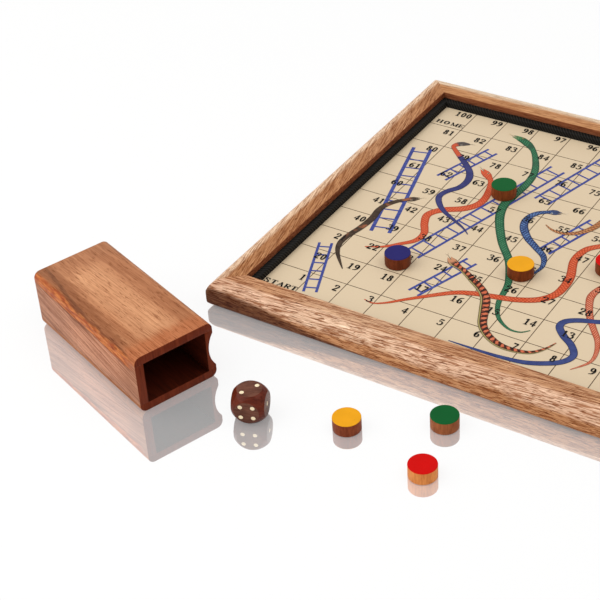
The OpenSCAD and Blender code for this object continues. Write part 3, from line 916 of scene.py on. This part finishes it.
def makeStroke(stroke):
    values = letterValues
    shares = [number / 100 for number in stroke]
    points = [Vector(pair) for pair in zip(shares[::2], shares[1::2])]
    if len(shares) == 3:
        return addDot("stroke", points[0], shares[2], 0, markThickness, values["dotSteps"])
    if len(shares) == 5:
        return addRibbon("stroke", Route(points), lambda share, ahead: shares[4] / 2, 0,
                         markThickness, 1, 1)
    if len(shares) == 4:
        x, y, width, height = shares
        turns = [2 * math.pi * k / values["loopSteps"] for k in range(values["loopSteps"] + 1)]
        route = Route([Vector((x + width * math.cos(a) * values["loop"],
                               y + height * math.sin(a))) for a in turns])
    else:
        route = Route(smoothRoute(points, 6))
    thick, thin = values["thick"], values["thin"]

    def nib(share, ahead):  # thick where the pen runs up or down
        return (thin + (thick - thin) * abs(ahead.y) ** values["thinning"]) / 2

    return addRibbon("stroke", route, nib, 0, markThickness, values["curveSteps"], 1)


def writeLine(glyphs, signs, right, bottom, height, step, width=1):  # ends at its right side
    put = []
    for place, sign in enumerate(reversed(signs)):
        start = (right - (place + 1) * step * height, bottom, seatTop - letterValues["depth"])
        scale = Matrix.Diagonal((height * width, height, 1, 1))
        put.append(copied(glyphs[sign], "sign", Matrix.Translation(start) @ scale))
    return put


def makeNumbers():
    values = letterValues
    height = values["numberHeight"]
    glyphs = {sign: joined([makeStroke(stroke) for stroke in parts], "glyph_" + sign)
              for sign, parts in strokes.items()}
    signs = []
    for number in range(1, 101):
        row, column = divmod(number - 1, 10)
        if row % 2:
            column = 9 - column
        corner = onSheet(column + 1, row + 1)
        top = values["lastRowTop" if row == 9 else "numberTop"]
        signs += writeLine(glyphs, str(number), corner.x - values["numberRight"],
                           corner.y - top - height, height, values["numberStep"])
    words = []
    for word, row, height, (width, step), start, foot in values["words"]:
        corner = onSheet(0, row)
        words += writeLine(glyphs, word, corner.x + start + len(word) * step * height,
                           corner.y + foot, height, step, width)
    for name, put in (("square_numbers", signs), ("first_and_last_words", words)):
        finished(dressed(joined(put, name), blackInk), "board", "ink_black")
    for glyph in glyphs.values():
        bpy.data.objects.remove(glyph)


makeNumbers()
stage("numbers and words")

# Counters: one is modelled, the rest are copies

counterValues = {
    "bottomEdge": 0.5 * mm,
    "paintEdge": 0.35 * mm,
    "topRing": 0.3,          # width of the ring inside that edge, as a share of the radius
    "steps": 96,
    "paint": {
        "green": (0.006, 0.110, 0.026), "blue": (0.024, 0.021, 0.145),
        "yellow": (0.90, 0.40, 0.014), "red": (0.67, 0.005, 0.004)
    },
    "sides": {  # light and deep wood
        "counter_green": ((0.30, 0.075, 0.02), (0.13, 0.03, 0.009)),
        "counter_blue": ((0.20, 0.045, 0.016), (0.085, 0.018, 0.007)),
        "counter_yellow": ((0.25, 0.055, 0.015), (0.11, 0.022, 0.006)),
        "counter_red": ((0.24, 0.055, 0.017), (0.10, 0.022, 0.007)),
        "spare_yellow": ((0.27, 0.062, 0.022), (0.15, 0.028, 0.009)),
        "spare_green": ((0.36, 0.115, 0.04), (0.20, 0.055, 0.018)),
        "spare_red": ((0.78, 0.29, 0.078), (0.56, 0.175, 0.042))
    }
}


def glossPaint(name, colour, seed):
    finish = Finish("paint " + name, tuple(value * 0.82 for value in colour), 0.34, 0.0, 0.04)
    shift = (seed, 0, 0)
    finish.lay(finish.cloud(8, 3, shift), colour)
    pit = finish.cloud(0.8, 1, shift).rise(0.76, 0.80)
    finish.lay(pit * 0.7, tuple(value * 0.25 for value in colour))
    finish.relief(finish.cloud(2.5, 2, shift) - pit * 0.5, 0.12, 0.2 * mm)
    return finish.material


def makeCounters():
    values = counterValues
    low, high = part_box("spare_red")
    radius, height = (high.x - low.x) / 2, high.z - low.z
    disc = addCylinder("disc", radius, height, (0, 0, height / 2), values["steps"])

    def rim(edge, level):
        spot = middle(edge)
        return abs(spot.z - level) < hair and math.hypot(spot.x, spot.y) > radius * 0.995

    edit(disc)
    pick("EDGE", lambda e: rim(e, 0))
    bpy.ops.mesh.bevel(offset=values["bottomEdge"], segments=3)
    for inset in (values["paintEdge"], radius * values["topRing"]):
        pick("FACE", lambda f: f.normal.z > 0.9 and len(f.verts) > 4)
        bpy.ops.mesh.inset(thickness=inset)
    pick("EDGE", lambda e: rim(e, height))
    bpy.ops.mesh.bevel(offset=values["paintEdge"], segments=4)
    leaveEdit()
    softened(disc, 40)
    paints = {name: glossPaint(name, colour, 0.05 * len(name))
              for name, colour in values["paint"].items()}
    for count, (node, (light, deep)) in enumerate(values["sides"].items()):
        low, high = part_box(node)
        place = (low + high) / 2
        place.z = low.z
        tint = node.split("_")[1]
        piece = copied(disc, node + "_disc", turnedAbout(0.9 * count, place))
        side = wood("side of " + node, "dark", (0, math.pi / 2, 0), (0.03 * count, 0, 0),
                    {"light": light, "deep": deep, "band": (12, 5), "line": (9, 2.2),
                     "dashShare": 0.25, "poreShare": 0.3, "roughness": 0.4})
        finished(dressed(piece, side, paints[tint]), node, "counter_" + tint, node)
        for face in piece.data.polygons:
            face.material_index = int(face.center.z > place.z + height - values["paintEdge"])
    bpy.data.objects.remove(disc)


makeCounters()
stage("seven counters")

# The die, its corners turned off by a ball, with inlaid pips

dieValues = {
    "ballShare": 1.25, "step": 0.185,   # the ball's width and from pip to pip, as shares of a side
    "yaw": math.radians(20), "edge": 0.35 * mm,
    "pipRadius": 1.4 * mm, "pipDepth": 1 * mm, "pipGap": 0.05 * mm, "pipSink": 0.06 * mm,
    "pipEdge": 0.15 * mm, "pipFloor": 0.02 * mm, "pipSteps": 32, "ballSteps": (96, 64),
    "cornerWood": {"light": (0.15, 0.026, 0.011), "deep": (0.075, 0.011, 0.005)},
    # the flat faces' wood, paler and greyer than the corners, partly a painted reflection
    "faceWoodAndSheen": {"light": (0.175, 0.066, 0.040), "deep": (0.080, 0.026, 0.016)},
    "lowShade": (0.055, 0.016, 0.011),
    "faces": [(0, 0, 2), (180, 0, 5), (90, 0, 4), (-90, 0, 3), (0, 90, 1), (0, -90, 6)]
}  # faces: turns about x and y in degrees from the top, and the number of pips


def pipPlaces(count):
    places = [(0, 0)] if count % 2 else []
    places += [(-1, -1), (1, 1)] if count >= 2 else []
    places += [(-1, 1), (1, -1)] if count >= 4 else []
    return places + ([(0, -1), (0, 1)] if count == 6 else [])


def pipSet(name, side, radius, low, high):  # all the pips as short rods between two depths
    rods = []
    step = dieValues["step"] * side
    for turnX, turnY, count in dieValues["faces"]:
        spin = (Matrix.Rotation(math.radians(turnY), 4, "Y")
                @ Matrix.Rotation(math.radians(turnX), 4, "X"))
        for across, up in pipPlaces(count):
            rod = addCylinder("rod", radius, high - low, (0, 0, (low + high) / 2),
                              dieValues["pipSteps"])
            rod.data.transform(spin @ Matrix.Translation((across * step, up * step, 0)))
            rods.append(rod)
    return joined(rods, name)


def dieShade(finish):  # darker towards the table
    height = finish.place().parts()[2]
    # painted shade: the die darkens towards the table
    finish.lay(height.fall(2, 12) * 0.55, dieValues["lowShade"])


def makeDie():
    values = dieValues
    low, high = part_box("die_body")
    side = high.z - low.z
    place = turnedAbout(values["yaw"], (low + high) / 2)
    half = Vector((side / 2,) * 3)
    body = addCube("die_cube", -half, half)
    deselect()
    around, rings = values["ballSteps"]
    bpy.ops.mesh.primitive_uv_sphere_add(segments=around, ring_count=rings,
                                         radius=side * values["ballShare"] / 2)
    cutWith(body, bpy.context.object, "INTERSECT")
    eased(body, values["edge"], 3, 25)
    seats = pipSet("seats", side, values["pipRadius"] + values["pipGap"],
                   side / 2 - values["pipDepth"], side / 2 + mm)
    cutWith(body, seats, "DIFFERENCE")
    body.data.transform(place)
    softened(body)
    woods = [wood("die " + part, "dark", (0.3, 0.2, 0.5), zero,
                  {**values[part], "coat": 0.08, "roughness": 0.26}, dieShade)
             for part in ("cornerWood", "faceWoodAndSheen")]
    finished(dressed(body, *woods), "die", "die_wood", "die_body")
    for face in body.data.polygons:   # the flat faces show paler than the turned corners
        straight = place.to_3x3().inverted() @ face.normal
        flat = max(abs(value) for value in straight) > 0.999
        reach = max(abs(value) for value in place.inverted() @ face.center)
        face.material_index = int(flat and reach > side / 2 - values["pipSink"])
    pips = pipSet("die_inlaid_pips", side, values["pipRadius"],
                  side / 2 - values["pipDepth"] + values["pipFloor"], side / 2 - values["pipSink"])
    pips.data.transform(place)
    eased(pips, values["pipEdge"], 2, 40)
    softened(pips)
    finish = Finish("cream inlay", (0.86, 0.66, 0.40), 0.35)
    finish.lay(finish.cloud(1.5, 2), (0.98, 0.88, 0.64))
    finished(dressed(pips, finish.material), "die", "pip_cream", "die_pips")


makeDie()
stage("die and pips")

# The dice cup, glued up from four boards and an end

cupValues = {
    "length": 116 * mm, "width": 54.5 * mm, "wall": 5.7 * mm, "endThickness": 6 * mm,
    "edgeRadius": 4.5 * mm, "edgeSteps": 10, "grooveHeight": 24 * mm, "grooveDepth": 3.8 * mm,
    "grooveSteps": 128, "rim": 0.6 * mm, "jointEase": 0.08 * mm, "yaw": math.radians(-20)
}
cupTurn = (0, 0, cupValues["yaw"])
cupAhead = Vector((math.cos(cupValues["yaw"]), math.sin(cupValues["yaw"]), 0))


def cupMouth():  # middle of the mouth's lower edge
    low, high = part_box("cup_top")
    centre = (low + high) / 2
    centre.z = 0
    return centre + cupAhead * cupValues["length"] / 2


def makeCupBlock(height):  # the outside, lying along X with its mouth at zero
    values = cupValues
    half, long = values["width"] / 2, values["length"]
    block = addCube("cup", Vector((-long, -half, 0)), Vector((0, half, height)))
    edit(block)
    pick("EDGE", lambda e: runsAlongX(e, long / 2))
    bpy.ops.mesh.bevel(offset=values["edgeRadius"], segments=values["edgeSteps"])
    leaveEdit()
    chord, deep = values["grooveHeight"], values["grooveDepth"]
    radius = (chord ** 2 / 4 + deep ** 2) / (2 * deep)
    centre = (-long / 2, half - deep + radius, height / 2)
    tool = addCylinder("groove", radius, long * 1.2, centre, values["grooveSteps"],
                       (0, math.pi / 2, 0))
    cutWith(block, tool, "DIFFERENCE")
    edit(block)
    pick("EDGE", lambda e: abs(middle(e).x + long / 2) > long / 2 - hair)
    bpy.ops.mesh.bevel(offset=values["rim"], segments=3)
    leaveEdit()
    return block


def cutBoard(block, name, cuts):  # keeps the part of the block behind each plane
    board = copied(block, name, Matrix.Identity(4))
    edit(board)
    for point, normal in cuts:
        onAll(bpy.ops.mesh.bisect, plane_co=point, plane_no=normal, use_fill=True,
              clear_outer=True)
    leaveEdit()
    return board


def cupPlace(finish):  # millimetres from the mouth's lower edge, along, across and up
    return finish.place(1, cupMouth(), cupTurn).parts()


def orangeStreak(finish):  # bright sapwood line high on the near side
    run, across, high = cupPlace(finish)
    drift = finish.cloud((30, 6), turn=cupTurn, rough=0.6) - 0.5
    line = high + run * 0.03 + drift * 9
    streak = line.rise(28.5, 30.5) * line.fall(35, 37.5)
    ends = run.fall(-14, 2) * across.fall(-26, -24)
    mottle = finish.cloud((7, 1.8), turn=cupTurn).rise(0.38, 0.62)
    finish.lay(streak * ends * 0.9,
               finish.blend(mottle, (0.62, 0.20, 0.055), (0.38, 0.08, 0.024)))
    border = ((line - 33).size() - 4.2).size().fall(0.35, 1.1)
    finish.lay(border * ends * 0.55, (0.16, 0.045, 0.018))


def topShade(finish):  # darker along the near edge, a bright band, a dark vein at the back
    run, across, _ = cupPlace(finish)
    drift = finish.cloud((40, 5), turn=cupTurn, rough=0.6) - 0.5
    dark = (across + run * 0.07 + drift * 8).fall(-25, -19) * (1 - run.rise(-30, 0) * 0.7)
    finish.lay(dark * 0.75, (0.25, 0.085, 0.034))
    finish.lay((across + drift * 8).rise(8, 19) * 0.3, (0.42, 0.18, 0.085))
    bright = (across + 1 + drift * 12).size().fall(7, 17)
    lip = (run + drift * 12).rise(-17, -7)
    rear = (run + drift * 12).fall(-108, -90)
    finish.lay(bright * (1 - lip) * (1 - rear) * 0.45, (0.80, 0.42, 0.22))
    finish.lay(lip * 0.6, (0.50, 0.155, 0.058))
    finish.lay(rear * 0.3, (0.38, 0.165, 0.08))
    vein = (across + run * 0.107 + drift * 5 + 31.4).size().fall(0.4, 1.3)
    finish.lay(vein * run.fall(-64, -48) * 0.6, (0.16, 0.06, 0.028))
    orangeStreak(finish)


def sideShade(finish):  # paler in the middle of the near side
    run, _, high = cupPlace(finish)
    drift = finish.cloud((30, 5), 3, (0.2, 0, 0), cupTurn, 0.6) - 0.5
    pale = (high - run * 0.12 + drift * 12 - 25).size().fall(6, 13)
    pale = pale * run.rise(-88, -66) * run.fall(-26, -8)
    finish.lay(pale * 0.45, (0.74, 0.36, 0.22))
    orangeStreak(finish)


def makeCup():
    values = cupValues
    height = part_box("cup_top")[1].z
    half, wall, long = values["width"] / 2, values["wall"], values["length"]
    block = makeCupBlock(height)
    lid, floor = (0, 0, height - wall), (0, 0, wall)
    near, far = (0, wall - half, 0), (0, half - wall, 0)
    back = (values["endThickness"] - long, 0, 0)
    between = [(lid, (0, 0, 1)), (floor, (0, 0, -1))]
    boards = {  # planes that cut it from the block, its grain's fall and turn, its looks
        "cup_top": ([(lid, (0, 0, -1))], 0, 2,
                    {"light": (0.60, 0.27, 0.13), "deep": (0.34, 0.12, 0.05), "line": (50, 1.6),
                     "dash": (24, 0.6), "dashShare": 0.45, "poreShare": 0.65,
                     "glintFleckShare": 0.4}, topShade),
        "cup_bottom": ([(floor, (0, 0, 1))], 0, 0, {}, None),
        "cup_side_near": (between + [(near, (0, 1, 0))], 9, 0,
                          {"light": (0.52, 0.25, 0.15), "deep": (0.32, 0.13, 0.07),
                           "dash": (70, 1.1), "dashMask": (0.48, 0.60), "dashShare": 0.75},
                          sideShade),
        "cup_side_far": (between + [(far, (0, -1, 0))], 0, 1, {"deep": (0.30, 0.11, 0.05)}, None),
        "cup_end": (between + [(near, (0, -1, 0)), (far, (0, 1, 0)), (back, (1, 0, 0))], 0, 0,
                    {"light": (0.42, 0.17, 0.08), "deep": (0.22, 0.075, 0.03)}, None)
    }
    place = turnedAbout(values["yaw"], cupMouth())
    # the inside wood is painted shade, near black; the eased edges of a board's inside get it too
    easing = 0.1 * mm   # the eased edges of a board's inside are dark too
    for count, (node, (cuts, fall, turn, changes, stain)) in enumerate(boards.items()):
        board = cutBoard(block, node + "_board", cuts)
        eased(board, values["jointEase"], 2, 50)
        board.data.transform(place)
        softened(board)
        shift = (0.1 * count, 0, 0)
        grain = wood(node, "cup", (0, math.radians(fall), values["yaw"] + math.radians(turn)),
                     (0.2 * count, 0.1 * count, 0), changes, stain)
        mouth = wood(node + " cut end", "dark", (0, math.pi / 2, values["yaw"]), shift,
                     {"light": (0.18, 0.032, 0.011), "deep": (0.11, 0.016, 0.005),
                      "roughness": 0.4})
        # painted shade in the hollow: the inside wood is near black
        inner = wood(node + " inside", "dark", cupTurn, shift,
                     {"light": (0.075, 0.011, 0.004), "deep": (0.030, 0.005, 0.002),
                      "roughness": 0.5})
        finished(dressed(board, grain, mouth, inner), "dice_cup", "cup_wood", node)
        for face in board.data.polygons:
            aside = abs((face.center - cupMouth()) @ leftOf(cupAhead).to_3d())
            level = abs(face.center.z - height / 2)
            inside = aside < half - wall + easing and level < height / 2 - wall + easing
            face.material_index = 1 if abs(face.normal @ cupAhead) > 0.6 else 2 if inside else 0
    bpy.data.objects.remove(block)


makeCup()
stage("dice cup")

# Finishes of the CAD pieces that show as they are

def paperFinish():
    finish = Finish("printed sheet", (0.68, 0.535, 0.36), 0.34)
    finish.lay(finish.cloud(110, 2), (0.74, 0.60, 0.42))
    fine = finish.cloud(0.9)
    finish.lay(fine * 0.25, (0.60, 0.47, 0.31))
    finish.set("Roughness", fine * 0.1 + 0.3)
    finish.relief(finish.cloud(25, 2), 0.25, 0.3 * mm)
    return finish.material


def lineInk(name, colour, fade):  # print that thins out here and there
    finish = printInk(name, colour)
    finish.lay(finish.cloud(2.5).rise(0.3, 0.75), fade)
    return finish.material


def steelFinish():
    finish = Finish("bright steel", (0.42, 0.42, 0.43), 0.3)
    finish.set("Metallic", 1.0)
    wear = finish.cloud(0.6)
    finish.lay(wear, (0.62, 0.62, 0.64))
    finish.set("Roughness", wear * 0.3 + 0.2)
    return finish.material


def dressFrame():
    finishes = {
        "printed_sheet": paperFinish(),
        "ink_grid": lineInk("grid lines", (0.07, 0.045, 0.025), (0.16, 0.11, 0.07)),
        "ink_ladders": lineInk("ladders", (0.042, 0.056, 0.245), (0.08, 0.105, 0.34)),
        "base_board": wood("base board", "board"),
        "play_board": wood("play board", "board", (0, 0, math.pi / 2), (0.2, 0, 0),
                           {"light": (0.36, 0.22, 0.12), "deep": (0.28, 0.16, 0.08)}),
        "base_pins": steelFinish(),
        "corner_keys": wood("corner keys", "board", (0, 0, math.pi / 4), (0.4, 0, 0))
    }
    for node, material in finishes.items():
        dressed(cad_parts[node], material)


dressFrame()
stage("finishes of the packed pieces")

# Table, lamps and camera

studioValues = {
    "mirror": 0.62,          # share of the table that mirrors, seen from the camera
    "glow": 0.6,             # share of the rest that stays white in a shadow
    "floorLevel": -0.25 * mm,
    "ambient": ((1, 0.985, 0.96), 0.60),
    "lamps": [  # place, aim, size, power
        ((-0.85, -0.80, 1.25), (0, -0.05, 0), 1.7, 17),
        ((0.75, 0.15, 1.30), (0, 0, 0), 1.0, 4)
    ],
    "lens": 95.728, "sensor": 36,
    "cameraPlace": (0.369095, -0.784616, 0.604652),
    "cameraTurn": (53.40826, 3.41245, 32.58940)   # degrees
}


def makeTable():
    deselect()
    bpy.ops.mesh.primitive_plane_add(size=8, location=(0, 0, studioValues["floorLevel"]))
    table = settled("white_table")
    finish = Finish("white table", (0.93, 0.93, 0.93), 0.6)
    seen = finish.node("ShaderNodeLightPath", output="Is Camera Ray")
    gloss = finish.node("ShaderNodeBsdfGlossy", None, {"Color": white, "Roughness": 0.015})
    glow = finish.node("ShaderNodeEmission", None, {"Color": white, "Strength": 1.0})
    plain = Wire(finish, finish.shader.outputs[0])
    matt = finish.mixed(seen * studioValues["glow"], plain, glow)
    finish.show(finish.mixed(seen * studioValues["mirror"], matt, gloss), "Material Output")
    dressed(table, finish.material)


def makeWorld():  # soft light, and white wherever the camera or a mirror sees it
    world = bpy.data.worlds.new("studio")
    bpy.context.scene.world = world
    sky = Nodes(world)
    camera, glossy, through = (sky.node("ShaderNodeLightPath", output="Is " + ray + " Ray")
                               for ray in ("Camera", "Glossy", "Transmission"))
    seen = sky.node("ShaderNodeMath", {"operation": "ADD", "use_clamp": True},
                    {0: camera + glossy, 1: through})
    soft, bright = (sky.node("ShaderNodeBackground", None, {"Color": colour, "Strength": power})
                    for colour, power in (studioValues["ambient"], (white, 1)))
    sky.show(sky.mixed(seen, soft, bright), "World Output")


def makeLamps():
    for count, (place, aim, size, power) in enumerate(studioValues["lamps"]):
        bpy.ops.object.light_add(type="AREA", location=place)
        lamp = bpy.context.object
        lamp.name = "soft_lamp_" + str(count)
        lamp.data.shape = "SQUARE"
        lamp.data.size = size
        lamp.data.energy = power
        lamp.rotation_euler = (Vector(aim) - Vector(place)).to_track_quat("-Z", "Y").to_euler()


def makeCamera():
    values = studioValues
    turn = [math.radians(angle) for angle in values["cameraTurn"]]
    bpy.ops.object.camera_add(location=values["cameraPlace"], rotation=turn)
    camera = bpy.context.object
    camera.data.lens = values["lens"]
    camera.data.sensor_width = values["sensor"]
    camera.data.sensor_fit = "HORIZONTAL"
    bpy.context.scene.camera = camera


makeTable()
makeWorld()
makeLamps()
makeCamera()
bpy.context.scene.view_settings.view_transform = "Standard"
stage("table, lamps and camera")
